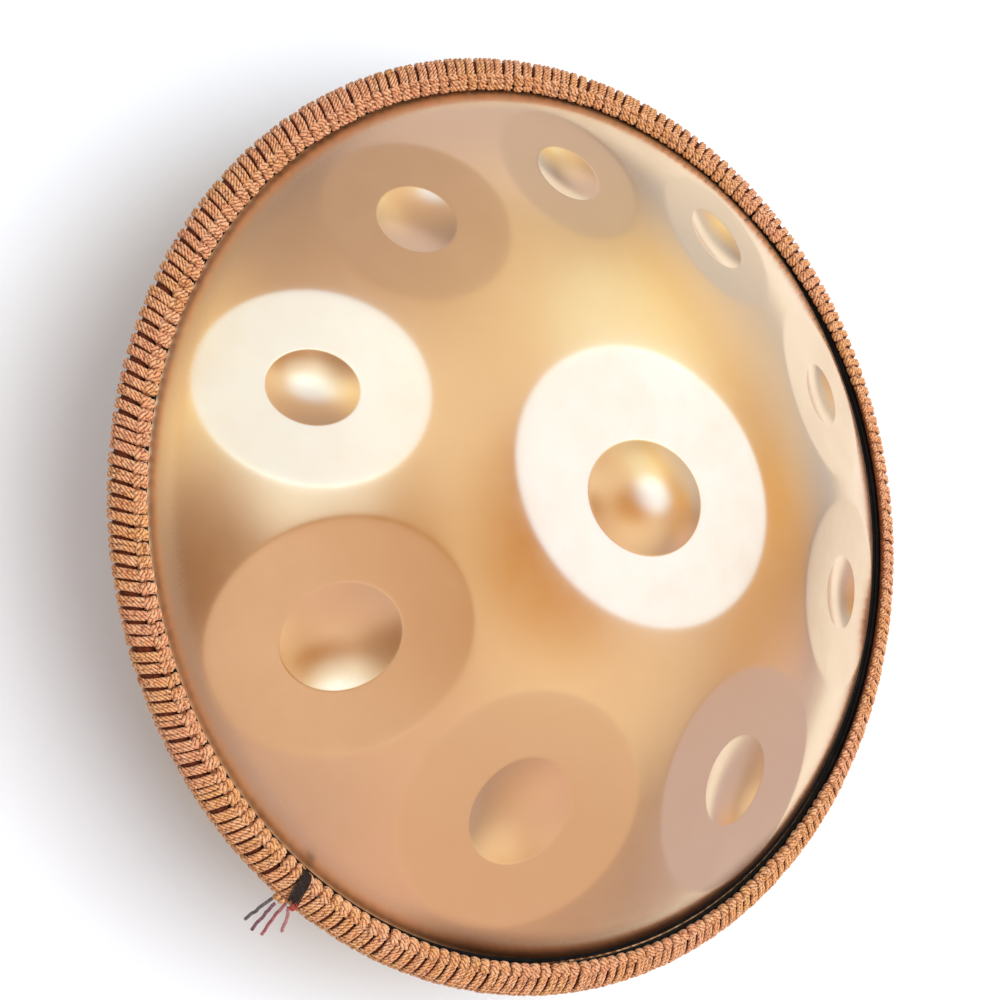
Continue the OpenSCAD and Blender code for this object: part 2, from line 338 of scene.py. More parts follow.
def yarn_look(dark, mid, pale, other, blush=None):
    """Twisted yarn: its tint shifts along the rim and from strand to strand, fibres follow the twist, and
    the grooves between the plies are darker."""
    def build(g):
        coords = g.add("ShaderNodeTexCoord")
        place = coords.outputs["Object"]
        tint = g.add("ShaderNodeAttribute", attribute_name="tint").outputs["Fac"]
        base = g.mix(tint, mid, other)
        if blush is not None:
            base = g.mix(g.spread(g.noise(place, 18, 2), 0.40, 0.62, 0.0, 0.85), base, blush)
        patch = g.spread(g.noise(place, 210, 2), 0.42, 0.66)
        base = g.mix(g.math("MULTIPLY", patch, 0.6), base, pale)
        fleck = g.spread(g.noise(place, 900, 2, 0.7), 0.46, 0.60)
        base = g.mix(g.math("MULTIPLY", fleck, 0.6), base, pale)
        speck = g.spread(g.noise(place, 560, 3, 0.7), 0.52, 0.64)
        base = g.mix(g.math("MULTIPLY", speck, 0.8), base, dark)
        turn = g.add("ShaderNodeSeparateXYZ", {0: coords.outputs["UV"]}).outputs[1]
        across = g.math("ABSOLUTE", g.math("SUBTRACT", g.math("FRACT", g.math("MULTIPLY", turn, 3)), 0.5))
        groove = g.spread(across, 0.20, 0.02)
        base = g.mix(g.math("MULTIPLY", groove, 0.8), base, dark)
        stretched = g.add("ShaderNodeMapping", {"Vector": coords.outputs["UV"], "Scale": (0.8, 14, 1)})
        fibre = g.noise(stretched.outputs[0], 2.2, 3, 0.6)
        colour = g.mix(g.spread(fibre, 0.40, 0.68, 0.0, 0.45), base, dark)
        lumps = g.bump(g.noise(place, 700, 2), 0.7, 0.25 * MM)
        normal = g.bump(fibre, 0.6, 0.15 * MM, lumps)
        return {"Base Color": colour, "Normal": normal}
    return build


def shaded_core_look(g):
    """The cord's inner turns, deep in the gaps of the lacing, coloured near black as painted shade."""
    place = g.add("ShaderNodeTexCoord").outputs["Object"]
    fuzz = g.noise(place, 800, 3, 0.7)
    colour = g.mix(g.spread(fuzz, 0.35, 0.7), rgb(0.04, 0.007, 0.002), rgb(0.15, 0.03, 0.008))
    return {"Base Color": colour, "Normal": g.bump(fuzz, 0.6, 0.3 * MM)}


def filler_look(g):
    """The straight filler cord inside a ridge, coloured dark brown as painted shade where it shows between
    the hitches.
    """
    place = g.add("ShaderNodeTexCoord").outputs["Object"]
    fuzz = g.noise(place, 700, 3, 0.7)
    colour = g.mix(g.spread(fuzz, 0.35, 0.7), rgb(0.10, 0.025, 0.008), rgb(0.30, 0.11, 0.04))
    return {"Base Color": colour, "Normal": g.bump(fuzz, 0.6, 0.3 * MM)}


def rubber_look(g):
    """Matt black extruded rubber with a faint bloom."""
    place = g.add("ShaderNodeTexCoord").outputs["Object"]
    bloom = g.spread(g.noise(place, 90, 4, 0.6), 0.4, 0.75)
    colour = g.mix(bloom, rgb(0.004, 0.004, 0.004), rgb(0.010, 0.009, 0.008))
    rough = g.spread(bloom, 0, 1, 0.60, 0.80, smooth=False)
    grain = g.bump(g.noise(place, 1800, 2), 0.3, 0.05 * MM)
    return {"Base Color": colour, "Roughness": rough, "Normal": grain}


def adhesive_look(g):
    """Cured glue with small bubbles."""
    place = g.add("ShaderNodeTexCoord").outputs["Object"]
    bubbles = g.spread(g.noise(place, 500, 3), 0.45, 0.6)
    colour = g.mix(bubbles, rgb(0.62, 0.58, 0.48), rgb(0.76, 0.73, 0.65))
    return {"Base Color": colour, "Normal": g.bump(bubbles, 0.3, 0.05 * MM)}


STEEL = make_material("satin_gold_steel", steel_look, **{"Metallic": 1.0})
CORD = make_material("copper_cord", yarn_look(rgb(0.12, 0.018, 0.004), rgb(0.80, 0.34, 0.11),
                                              rgb(0.98, 0.61, 0.35), rgb(0.85, 0.45, 0.14),
                                              rgb(0.87, 0.40, 0.21)),
                     **{"Roughness": 0.78, "Sheen Weight": 0.15, "Sheen Roughness": 0.5})
SHADED_CORE = make_material("shaded_cord_core", shaded_core_look, **{"Roughness": 0.95})
SHADED_FILLER = make_material("filler_cord", filler_look, **{"Roughness": 0.9})
RUBBER = make_material("black_rubber", rubber_look, **{"Specular IOR Level": 0.15})
GLUE = make_material("cured_glue", adhesive_look, **{"Roughness": 0.4})
BLACK_THREAD = make_material("black_thread", yarn_look(rgb(0.006, 0.004, 0.004), rgb(0.020, 0.014, 0.013),
                                                       rgb(0.06, 0.045, 0.04), rgb(0.035, 0.018, 0.014)),
                             **{"Roughness": 0.6})
RED_THREAD = make_material("red_thread", yarn_look(rgb(0.22, 0.01, 0.01), rgb(0.72, 0.05, 0.035),
                                                   rgb(0.85, 0.22, 0.15), rgb(0.65, 0.04, 0.05)),
                           **{"Roughness": 0.65})
TAIL_COLOURS = {
    "slate": (rgb(0.045, 0.035, 0.04), rgb(0.16, 0.135, 0.155),
              rgb(0.36, 0.32, 0.34), rgb(0.12, 0.10, 0.12)),
    "purple": (rgb(0.09, 0.03, 0.045), rgb(0.24, 0.10, 0.14),
               rgb(0.45, 0.27, 0.31), rgb(0.20, 0.08, 0.12)),
    "rose": (rgb(0.20, 0.03, 0.04), rgb(0.52, 0.13, 0.15),
             rgb(0.72, 0.36, 0.36), rgb(0.48, 0.12, 0.15)),
    "pink": (rgb(0.24, 0.07, 0.08), rgb(0.60, 0.24, 0.26),
             rgb(0.78, 0.48, 0.47), rgb(0.56, 0.22, 0.25)),
}
TAILS = {name: make_material(name + "_thread", yarn_look(*colours), **{"Roughness": 0.7})
         for name, colours in TAIL_COLOURS.items()}


# ---------------------------------------------------------------- the four free threads
# Where each thread runs, from the rim to its cut end, in millimetres
TAIL_ROUTES = {
    "slate": [(171.5, -226.5, 101.5), (172.5, -227.5, 99.5), (174, -229, 97), (175.5, -230, 93.5),
              (177, -230.5, 90), (179, -231, 86.5), (180.5, -232, 82), (182.5, -232.5, 78),
              (184.5, -232.5, 73)],
    "purple": [(174.5, -225.5, 101.5), (176, -227, 99.5), (178, -228, 97), (179.5, -228.5, 94),
               (182, -229, 90.5), (184, -229.5, 86.5), (186, -230, 82.5), (188.5, -230, 78),
               (191, -230, 73.5)],
    "rose": [(176.5, -219.5, 101), (178, -220.5, 99), (180, -221.5, 96.5), (182, -222.5, 93),
             (184.5, -223, 89.5), (187, -223.5, 85.5), (189.5, -224, 81.5), (192.5, -224, 77),
             (195.5, -224.5, 72)],
    "pink": [(178.5, -218.5, 101.5), (180.5, -218.5, 100), (182.5, -218, 98), (184.5, -217.5, 95.5),
             (186.5, -217, 92.5), (189, -216.5, 89), (191, -216, 85), (193.5, -215.5, 81),
             (196, -214.5, 77)],
}
THREAD_RADIUS = 1.0 * MM


def make_tail(name, route):
    """A loose, two-strand thread that leaves the rim and hangs outwards."""
    path = curve_through(np.array(route) * MM, 6)
    outward = np.tile([0.0, 0.0, 1.0], (len(path), 1))
    yarn = Strands()
    yarn.add(path, outward, THREAD_RADIUS, THREAD_RADIUS, 0.5, lay=7 * MM, groove=0.2, round_ends=0.7 * MM)
    piece = yarn.piece(name + "_tail", [TAILS[name]])
    settle(piece, name + "_thread", name + "_thread_tail")


for tail_name, tail_route in TAIL_ROUTES.items():
    make_tail(tail_name, tail_route)


# ---------------------------------------------------------------- steel shells
def dome(r, crown):
    """Height of a dome above the joint, with the steeper shoulder beside the flange."""
    into = np.maximum(0, r - DOME_RADIUS + SHOULDER_WIDTH) / SHOULDER_WIDTH
    return crown * (1 - (r / DOME_RADIUS) ** DOME_POWER) + SHOULDER_DROP * (1 - into * into)


def skin(r, crown):
    """Height of the outer skin: the dome, bent softly into the flange."""
    rise = dome(r, crown) - FLANGE_FACE
    soft = FLANGE_FACE + (rise + np.sqrt(rise * rise + BEND * BEND)) / 2
    return np.where(r >= BEND_END, FLANGE_FACE, soft)


def ease(x):
    x = np.clip(x, 0, 1)
    return x * x * (3 - 2 * x)


class Oval:
    """An oval in plan. Its first axis points along the bearing, and q is 1 on its edge."""

    def __init__(self, centre, bearing, long_half, wide_half):
        self.centre, self.bearing = np.array(centre), math.radians(bearing)
        self.half = np.array([long_half, wide_half]) * MM

    def local(self, x, y):
        c, s = math.cos(self.bearing), math.sin(self.bearing)
        dx, dy = x - self.centre[0], y - self.centre[1]
        return dx * c + dy * s, dy * c - dx * s

    def q(self, x, y):
        u, v = self.local(x, y)
        return np.hypot(u / self.half[0], v / self.half[1])

    def ring(self, size, count):
        """Points of the oval scaled by size."""
        a = np.arange(count) * TURN / count
        u, v = size * self.half[0] * np.cos(a), size * self.half[1] * np.sin(a)
        c, s = math.cos(self.bearing), math.sin(self.bearing)
        return np.stack([self.centre[0] + u * c - v * s, self.centre[1] + u * s + v * c], -1)


def note(bearing, reach, field_long, field_wide, dimple_long, dimple_wide):
    """A ring note: its field and its dimple, by the bearing and radius of their centre, in millimetres."""
    a = math.radians(bearing)
    centre = (reach * MM * math.cos(a), reach * MM * math.sin(a))
    return (Oval(centre, bearing, field_long, field_wide), Oval(centre, bearing, dimple_long, dimple_wide))


# Ring notes from the lowest to the highest, on alternate sides
NOTES = [note(328.5, 183, 65, 71, 29.5, 29.3),
         note(18.5, 187, 68, 67, 28, 27),
         note(283, 188, 64, 61, 29.3, 27.4),
         note(65, 197, 59, 60, 25, 23.5),
         note(243, 194, 57, 53, 22.5, 20.6),
         note(103.5, 198, 48, 58, 22, 21),
         note(207.5, 197, 49, 52, 20.5, 22),
         note(140.5, 199, 45, 47, 20.5, 22),
         note(174.5, 199, 45, 45.5, 19.3, 20.3)]
CENTRE_FIELD = Oval((-5.6 * MM, 4.3 * MM), 55, 91.5, 76.4)
CENTRE_DOME = Oval((-0.1 * MM, 0.8 * MM), 73, 39.8, 32.7)
CENTRE_RISE = 8 * MM
DIMPLE_DEPTH = 0.18
CREASE = 0.35 * MM
FIELD_REACH = 1.4
FIELD_FADE = 0.25
DISH_REACH = 1.3
LIP = 0.03


def dish(q):
    """Depth profile of a dimple: 1 in its middle and 0 outside, with a small rounded lip."""
    inside = np.sqrt((1 - q) ** 2 + LIP ** 2 / 4)
    soft = ((1 - q) + inside) / 2
    return np.where(q < DISH_REACH, soft * (2 - soft), 0)


def upper_skin(x, y):
    return skin(np.hypot(x, y), UPPER_CROWN)


class Field:
    """A field hammered flat: a tilted plane, warped a little so that it meets the dome all round."""

    def __init__(self, oval):
        self.oval = oval
        edge = oval.ring(1, 180)
        u, v = oval.local(edge[:, 0], edge[:, 1])
        height = upper_skin(edge[:, 0], edge[:, 1])
        self.flat = np.linalg.lstsq(np.column_stack([np.ones_like(u), u, v]), height, rcond=None)[0]

    def height(self, x, y):
        """Height of the flattened field, carried on a little beyond its edge."""
        u, v = self.oval.local(x, y)
        q = np.maximum(self.oval.q(x, y), 1e-6)
        edge_u, edge_v = u / q, v / q
        c, s = math.cos(self.oval.bearing), math.sin(self.oval.bearing)
        edge_x = self.oval.centre[0] + edge_u * c - edge_v * s
        edge_y = self.oval.centre[1] + edge_u * s + edge_v * c
        misfit = upper_skin(edge_x, edge_y) - self.plane(edge_u, edge_v)
        return self.plane(u, v) + misfit * q * q

    def plane(self, u, v):
        return self.flat[0] + self.flat[1] * u + self.flat[2] * v

    def press(self, h, x, y):
        """The skin h with this field pressed into it, and a small soft crease at the field's edge."""
        lower = self.height(x, y) - h
        pressed = h + (lower - np.sqrt(lower * lower + CREASE * CREASE)) / 2
        near = ease((FIELD_REACH - self.oval.q(x, y)) / FIELD_FADE)
        return h + (pressed - h) * near


FIELDS = [Field(CENTRE_FIELD)] + [Field(field) for field, _ in NOTES]


def upper_height(x, y):
    """Height of the upper shell's outer skin above the joint, with its note fields and dimples."""
    h = upper_skin(x, y)
    for field in FIELDS:
        h = field.press(h, x, y)
    h = h + CENTRE_RISE * dish(CENTRE_DOME.q(x, y))
    for _, dimple in NOTES:
        h = h - DIMPLE_DEPTH * dimple.half.mean() * dish(dimple.q(x, y))
    return h


def steepness(height, x, y):
    """Slopes of a height function along x and y."""
    e = 0.05 * MM
    return (height(x + e, y) - height(x - e, y)) / (2 * e), (height(x, y + e) - height(x, y - e)) / (2 * e)


# By whether the skin is the fine, outer one: rings of points at the edge of a field and in a dimple, as
# shares of its size, the usual gap between points, and how near to each other two of them may lie
EDGE_RINGS = {True: [0.93, 0.955, 0.97, 0.985, 1.0, 1.015, 1.03, 1.05, 1.08, 1.13], False: [0.95, 1.0, 1.06]}
LIP_RINGS = {True: [0.08, 0.2, 0.33, 0.46, 0.58, 0.7, 0.8, 0.88, 0.93, 0.96, 0.978, 0.99, 1.0, 1.01, 1.022,
                    1.04, 1.07, 1.12, 1.2],
             False: [0.3, 0.6, 0.85, 0.95, 1.0, 1.06, 1.2]}
POINT_GAP = {True: 3.2 * MM, False: 7 * MM}
MERGE_GAP = {True: 0.28 * MM, False: 0.8 * MM}
RIM_START = 245 * MM
RIM_STEPS = 540


def plan_points(fine):
    """Points in plan for one skin: rings round every edge and a loose grid of rings between them."""
    ovals = [CENTRE_FIELD] + [field for field, _ in NOTES]
    dimples = [CENTRE_DOME] + [dimple for _, dimple in NOTES]
    points = []
    gap = POINT_GAP[fine]
    # The edges of the fields
    for oval in ovals:
        count = int(TURN * oval.half.mean() / gap)
        points += [oval.ring(size, count) for size in EDGE_RINGS[fine]]
    # The dimples, with fewer points towards their middle
    for oval in dimples:
        count = int(TURN * oval.half.mean() / (0.55 * gap))
        points += [oval.ring(size, count if size > 0.5 else max(12, int(count * size * 1.6)))
                   for size in LIP_RINGS[fine]]
        points.append(oval.centre[None])
    # The flat of each field, between its dimple and its edge
    for oval, dimple in zip(ovals, dimples):
        ratio = dimple.half.mean() / oval.half.mean()
        rings = int((0.9 - 1.25 * ratio) * oval.half.mean() / (1.8 * gap))
        for size in np.linspace(1.33 * ratio, 0.89, max(2, rings)):
            points.append(oval.ring(size, int(TURN * size * oval.half.mean() / (1.5 * gap))))
    # The dome between the fields
    spacing = 1.7 * gap
    for k, r in enumerate(np.arange(spacing, RIM_START, spacing)):
        count = max(6, int(TURN * r / spacing))
        a = (np.arange(count) + 0.5 * (k % 2)) * TURN / count
        ring = np.stack([r * np.cos(a), r * np.sin(a)], -1)
        clear = np.ones(len(ring), bool)
        for oval in ovals:
            clear &= oval.q(ring[:, 0], ring[:, 1]) > 1.15
        points.append(ring[clear])
    return np.vstack(points)


def rim_ring(r):
    a = np.arange(RIM_STEPS) * TURN / RIM_STEPS
    return np.stack([r * np.cos(a), r * np.sin(a)], -1)


def tidy_points(points, nearest):
    """The points without those that lie closer than the given distance to an earlier one."""
    cells, kept = {}, []
    for p in points:
        key = (int(p[0] // nearest), int(p[1] // nearest))
        near = [q for i in (-1, 0, 1) for j in (-1, 0, 1) for q in cells.get((key[0] + i, key[1] + j), [])]
        if all((p[0] - q[0]) ** 2 + (p[1] - q[1]) ** 2 > nearest ** 2 for q in near):
            cells.setdefault(key, []).append(p)
            kept.append(p)
    return np.array(kept)


def sheet_mesh(height, fine, rim_radii):
    """Points and upward triangles of one skin over the plan; its last RIM_STEPS points are its edge."""
    inner = plan_points(fine)
    inner = inner[np.hypot(inner[:, 0], inner[:, 1]) < RIM_START + 8 * MM]
    inner = tidy_points(inner, MERGE_GAP[fine])
    inner = inner[np.hypot(inner[:, 0], inner[:, 1]) < rim_radii[0] - 0.4 * MM]
    plan = np.vstack([inner] + [rim_ring(r) for r in rim_radii])
    made = delaunay_2d_cdt([Vector(p) for p in plan], [], [], 0, 1e-7)
    if len(made[0]) != len(plan):
        raise RuntimeError("the plan's points are not all apart")
    flat = np.array([tuple(v) for v in made[0]])
    faces = np.array([f for f in made[2] if len(f) == 3])
    a, b, c = flat[faces[:, 0]], flat[faces[:, 1]], flat[faces[:, 2]]
    turned = (b[:, 0] - a[:, 0]) * (c[:, 1] - a[:, 1]) - (b[:, 1] - a[:, 1]) * (c[:, 0] - a[:, 0]) < 0
    faces[turned] = faces[turned][:, ::-1]
    points = np.column_stack([flat, height(flat[:, 0], flat[:, 1])])
    return points, faces


def upper_underside(x, y):
    """Height of the upper shell's inner skin, which ends flat on the glue line."""
    sx, sy = steepness(upper_height, x, y)
    inner = upper_height(x, y) - SHEET * np.sqrt(1 + sx * sx + sy * sy)
    return np.where(np.hypot(x, y) > CAVITY_RADIUS - 0.05 * MM, GLUE_LINE / 2, inner)


def normals_of(height, points, up):
    """Unit normals of a height function at the points, upwards or downwards."""
    sx, sy = steepness(height, points[:, 0], points[:, 1])
    n = np.column_stack([-sx, -sy, np.ones(len(points))])
    return (1 if up else -1) * n / np.linalg.norm(n, axis=1, keepdims=True)


def make_upper_shell():
    """The upper shell as one closed sheet with true normals from its height function."""
    outer_rims = [r * MM for r in (250, 252, 254, 256, 257.5, 259, 260, 260.8, 261.4, 262, 262.6, 263.2,
                                   264, 265, 266, 270)] + [FLANGE_RADIUS]
    inner_rims = ([r * MM for r in (252, 256, 259, 261)]
                  + [CAVITY_RADIUS - 0.1 * MM, CAVITY_RADIUS, FLANGE_RADIUS])
    outer, outer_faces = sheet_mesh(upper_height, True, outer_rims)
    inner, inner_faces = sheet_mesh(upper_underside, False, inner_rims)
    top_edge = len(outer) - RIM_STEPS + np.arange(RIM_STEPS)
    low_edge = len(outer) + len(inner) - RIM_STEPS + np.arange(RIM_STEPS)
    wall = np.stack([top_edge, low_edge, np.roll(low_edge, -1), np.roll(top_edge, -1)], -1)
    points = np.vstack([outer, inner]) + np.array(JOINT)
    faces = outer_faces.tolist() + (inner_faces[:, ::-1] + len(outer)).tolist() + wall.tolist()
    piece = new_piece("steel_upper_shell", points, faces, [STEEL])
    above = normals_of(upper_height, outer, True)
    below = normals_of(upper_underside, inner, False)
    side = points[wall.ravel()] * [1, 1, 0]
    side /= np.linalg.norm(side, axis=1, keepdims=True)
    loops = np.vstack([above[outer_faces.ravel()], below[inner_faces[:, ::-1].ravel()], side])
    piece.data.normals_split_custom_set([tuple(n) for n in loops])
    return settle(piece, "shell_steel", "top_shell")


def lathe(outline, steps):
    """Points and faces of a closed outline of (radius, height above the joint), turned about the axis."""
    a = np.arange(steps) * TURN / steps
    r, z = np.array(outline).T
    points = np.stack([r[None] * np.cos(a)[:, None], r[None] * np.sin(a)[:, None],
                       np.broadcast_to(z, (steps, len(z)))], -1).reshape(-1, 3)
    n = len(outline)
    faces = [(i * n + k, i * n + (k + 1) % n, (i + 1) % steps * n + (k + 1) % n, (i + 1) % steps * n + k)
             for i in range(steps) for k in range(n)]
    return points + np.array(JOINT), faces


def arc(centre, radius, start, end, steps):
    return [(centre[0] + radius * math.cos(a), centre[1] + radius * math.sin(a))
            for a in np.radians(np.linspace(start, end, steps))]


def make_lower_shell():
    """The lower shell: a plain dome with a flat land and an inward neck round the port."""
    soft = 0.3 * MM
    radii = LAND_RADIUS + (BEND_END - LAND_RADIUS) * np.sin(np.linspace(0, math.pi / 2, 44))
    slope = (skin(radii + 0.1 * MM, LOWER_CROWN) - skin(radii - 0.1 * MM, LOWER_CROWN)) / (0.2 * MM)
    outer = [(r, -h) for r, h in zip(radii, skin(radii, LOWER_CROWN))]
    inside = radii < CAVITY_RADIUS - 0.1 * MM
    thick = SHEET * np.sqrt(1 + slope * slope)
    inner = [(r, t - h) for r, h, t in zip(radii[inside], skin(radii, LOWER_CROWN)[inside], thick[inside])]
    mouth = (PORT_RADIUS + MOUTH_RADIUS, MOUTH_RADIUS - JOINT.z)
    neck_top = mouth[1] + PORT_LENGTH
    outline = ([(FLANGE_RADIUS, -FLANGE_FACE)] + outer[::-1]
               + arc(mouth, MOUTH_RADIUS, 270, 180, 12)
               + [(PORT_RADIUS, neck_top - soft), (PORT_RADIUS + soft, neck_top),
                  (PORT_RADIUS + SHEET - soft, neck_top), (PORT_RADIUS + SHEET, neck_top - soft)]
               + arc(mouth, MOUTH_RADIUS - SHEET, 180, 270, 10)
               + inner + [(CAVITY_RADIUS, -GLUE_LINE / 2), (FLANGE_RADIUS, -GLUE_LINE / 2)])
    points, faces = lathe(outline, 360)
    piece = new_piece("steel_lower_shell", points, faces, [STEEL])
    piece.data.set_sharp_from_angle(angle=math.radians(40))
    return settle(piece, "shell_steel", "bottom_shell")


make_upper_shell()
make_lower_shell()


# ---------------------------------------------------------------- the hitched cord round the rim
HITCHES = 244
PITCH = TURN / HITCHES
CORD_HALF = 1.45 * MM
CORD_LAY = 7 * MM
GROOVE = 0.30
LEAN = -1.25 * PITCH
BOUND_BEARING = math.radians(308.1)
RED_BEARING = math.radians(309.2)
rng = np.random.default_rng(20)


def on_rim(theta, radius, height):
    """Points at bearings, radii and heights above the joint; arrays of the same length."""
    return np.stack([radius * np.cos(theta), radius * np.sin(theta), height + JOINT.z * np.ones_like(theta)],
                    -1)


def outward_of(theta, across, up):
    """Direction with parts across (away from the axis) and up."""
    n = np.stack([across * np.cos(theta), across * np.sin(theta), up * np.ones_like(theta)], -1)
    return n / np.linalg.norm(n, axis=-1, keepdims=True)


# How far the hitches stray from their ridge, by bearing in degrees: inwards above 0, outwards below
STRAY_BEARINGS = (0, 30, 60, 90, 110, 120, 135, 180, 205, 225, 270, 330, 345)
STRAYS = (-0.5, -0.6, -1.3, -1.5, -0.3, 0.5, 1.15, 1.15, 0.9, 0.6, 0.55, 0.3, 0.2)
TWO_LUMPS_FROM = 0.8
LUMP_WIDE = 2.15 * MM
LUMP_HIGH = 1.85 * MM
LUMP_TUCK = 1.4 * MM
LUMP_LENGTH = 2.75
LUMP_SKEW = 0.10


def stray_at(theta):
    return float(np.interp(math.degrees(theta), STRAY_BEARINGS, STRAYS, period=360))


def hitch_lumps_at(theta):
    """Centres of the locking loops side by side in the ridge: beyond the flange, and up, in millimetres."""
    stray = stray_at(theta)
    inwards, outwards = max(stray, 0), max(-stray, 0)
    lumps = [(-5.3 - 0.9 * inwards + 0.9 * outwards, 6.3),
             (-8.2 - 1.6 * inwards + 1.5 * outwards, 6.3 - 0.4 * inwards)]
    if outwards < TWO_LUMPS_FROM:
        lumps.append((-9.5 - 2.6 * inwards + 2.4 * outwards, 4.9 - 0.5 * inwards))
    return lumps


def hitch_lump(yarns, theta, centre, side, half_length, skew):
    """One locking loop of a hitch: a short fat bar across the ridge, with both ends tucked in."""
    t = np.linspace(-1, 1, 9)
    from_middle = Vector(centre) * MM + Vector((FLANGE_RADIUS, 0)) - RIDGE
    a = math.atan2(from_middle.y, from_middle.x) + skew * t
    distance = from_middle.length - LUMP_TUCK * np.abs(t) ** 3
    radius = RIDGE.x + distance * np.cos(a)
    height = side * (RIDGE.y + distance * np.sin(a))
    bearing = theta + t * half_length / RIDGE.x
    path = on_rim(bearing, radius, height)
    outward = outward_of(bearing, np.cos(a), side * np.sin(a))
    yarns.add(path, outward, LUMP_WIDE, LUMP_HIGH, rng.random(), lay=CORD_LAY, groove=GROOVE,
              round_ends=1.3 * MM)


def make_hitch_row(name, node, side):
    """A ridge of hitches: locking loops side by side for every turn of the cord."""
    yarns = Strands()
    for k in range(HITCHES):
        theta = k * PITCH + (LEAN if side < 0 else 0) + rng.normal(0, 0.05) * PITCH
        for x, z in hitch_lumps_at(theta):
            centre = (x + rng.normal(0, 0.18), z + rng.normal(0, 0.12))
            hitch_lump(yarns, theta + rng.normal(0, 0.04) * PITCH, centre, side,
                       (LUMP_LENGTH + rng.normal(0, 0.2)) * MM, rng.normal(LUMP_SKEW, 0.08))
    piece = yarns.piece(name, [CORD])
    return settle(piece, "rim_cord", node)


# Half of the lacing's section, from under the upper ridge to the outermost line: beyond the flange, and up
LACING_HALF = [(-6.2, 5.2), (-4.4, 6.0), (-2.2, 5.85), (0.4, 5.3), (3.0, 4.0), (5.1, 2.1), (5.85, 0)]
STRAND_SPREAD = 0.195


def lacing_section():
    """Radius and height above the joint along the middle of a strand, with the share of its way round."""
    half = np.array(LACING_HALF) * MM
    section = curve_through(np.vstack([half, half[-2::-1] * [1, -1]]), 2)
    steps = np.concatenate([[0], np.cumsum(np.linalg.norm(np.diff(section, axis=0), axis=1))])
    return FLANGE_RADIUS + section[:, 0], section[:, 1], steps / steps[-1]


def lacing_path(theta, spread, lift, wobble):
    """Centre line of one strand from under the upper ridge, round the edge, to under the lower one."""
    radius, height, share = lacing_section()
    ahead_r, ahead_h = np.gradient(radius), np.gradient(height)
    length = np.hypot(ahead_r, ahead_h)
    across, up = -ahead_h / length, ahead_r / length
    pinch = 0.88 + 0.14 * np.sin(math.pi * share)
    sway = np.sin(TURN * share * 1.5 + 9 * spread / PITCH)
    bearing = theta + LEAN * share + spread * pinch + wobble * sway
    return on_rim(bearing, radius + lift * across, height + lift * up), outward_of(bearing, across, up)


def make_lacing():
    """Slanted pairs of strands over the rim's outer edge, on inner turns coloured near black as painted
    shade.
    """
    inset = 3.2 * MM
    a = np.radians(np.linspace(0, 360, 36, endpoint=False))
    outline = list(zip(ROPE_CENTRE + 1 * MM + (ROPE_WIDE - 1 * MM - inset) * np.cos(a),
                       (ROPE_HIGH - inset) * np.sin(a)))
    turns = [k * PITCH + rng.normal(0, 0.05) * PITCH for k in range(HITCHES)]
    for name, spread in (("rim_lacing_first", -STRAND_SPREAD), ("rim_lacing_second", STRAND_SPREAD)):
        yarns = Strands()
        for theta in turns:
            path, outward = lacing_path(theta, (spread + rng.normal(0, 0.025)) * PITCH,
                                        rng.uniform(-0.35, 0.05) * MM, rng.uniform(0, 0.05) * PITCH)
            yarns.add(path, outward, CORD_HALF * rng.uniform(0.96, 1.06),
                      CORD_HALF * rng.uniform(0.92, 1.0), rng.random(), lay=CORD_LAY, groove=GROOVE)
        if spread < 0:
            # The backing ring inside the rope is painted shade for the gaps between the strands
            piece = yarns.piece(name, [CORD, SHADED_CORE], lathe(outline[::-1], 240))
        else:
            piece = yarns.piece(name, [CORD])
        settle(piece, "rim_cord", "edge_lacing")


make_hitch_row("upper_hitches", "upper_hitch_row", 1)
make_hitch_row("lower_hitches", "lower_hitch_row", -1)
make_lacing()


# ---------------------------------------------------------------- the cord's bound end
THREAD_HALF = 0.6 * MM
THREAD_LAY = 3 * MM
THREAD_GROOVE = 0.2
RIDGE_END = 55


def over_rope(theta, ridge_from, outer_from, outer_to, lift, lean, steps=9):
    """Path of a thread over the rope, by angles in degrees: down the ridge, if a start on it is given, and
    then over the lacing."""
    b = np.radians(np.linspace(outer_from, outer_to, steps))
    radius = ROPE_CENTRE + (ROPE_WIDE + lift) * np.cos(b)
    height = (ROPE_HIGH + lift) * np.sin(b)
    turned = b
    if ridge_from is not None:
        a = np.radians(np.linspace(ridge_from, RIDGE_END, steps))
        radius = np.concatenate([RIDGE.x + (RIDGE_RADIUS + lift) * np.cos(a), radius])
        height = np.concatenate([RIDGE.y + (RIDGE_RADIUS + lift) * np.sin(a), height])
        turned = np.concatenate([a, b])
    bearing = theta + lean * np.linspace(-0.5, 0.5, len(radius))
    return on_rim(bearing, radius, height), outward_of(bearing, np.cos(turned), np.sin(turned))


def make_black_binding():
    """Black thread wound side by side over the rope, from the ridge's inner side on to the lacing."""
    yarns = Strands()
    for k in range(7):
        theta = BOUND_BEARING + (k - 3) * 1.05 * MM / ROPE_RADIUS
        path, outward = over_rope(theta, 168, 84, 34 + rng.normal(0, 3),
                                  0.5 * MM + rng.normal(0, 0.05) * MM, math.radians(1.05))
        yarns.add(path, outward, 0.58 * MM, THREAD_HALF, rng.random(), lay=THREAD_LAY, groove=THREAD_GROOVE,
                  round_ends=THREAD_HALF)
    return settle(yarns.piece("black_binding", [BLACK_THREAD]), "black_thread", "black_whipping")


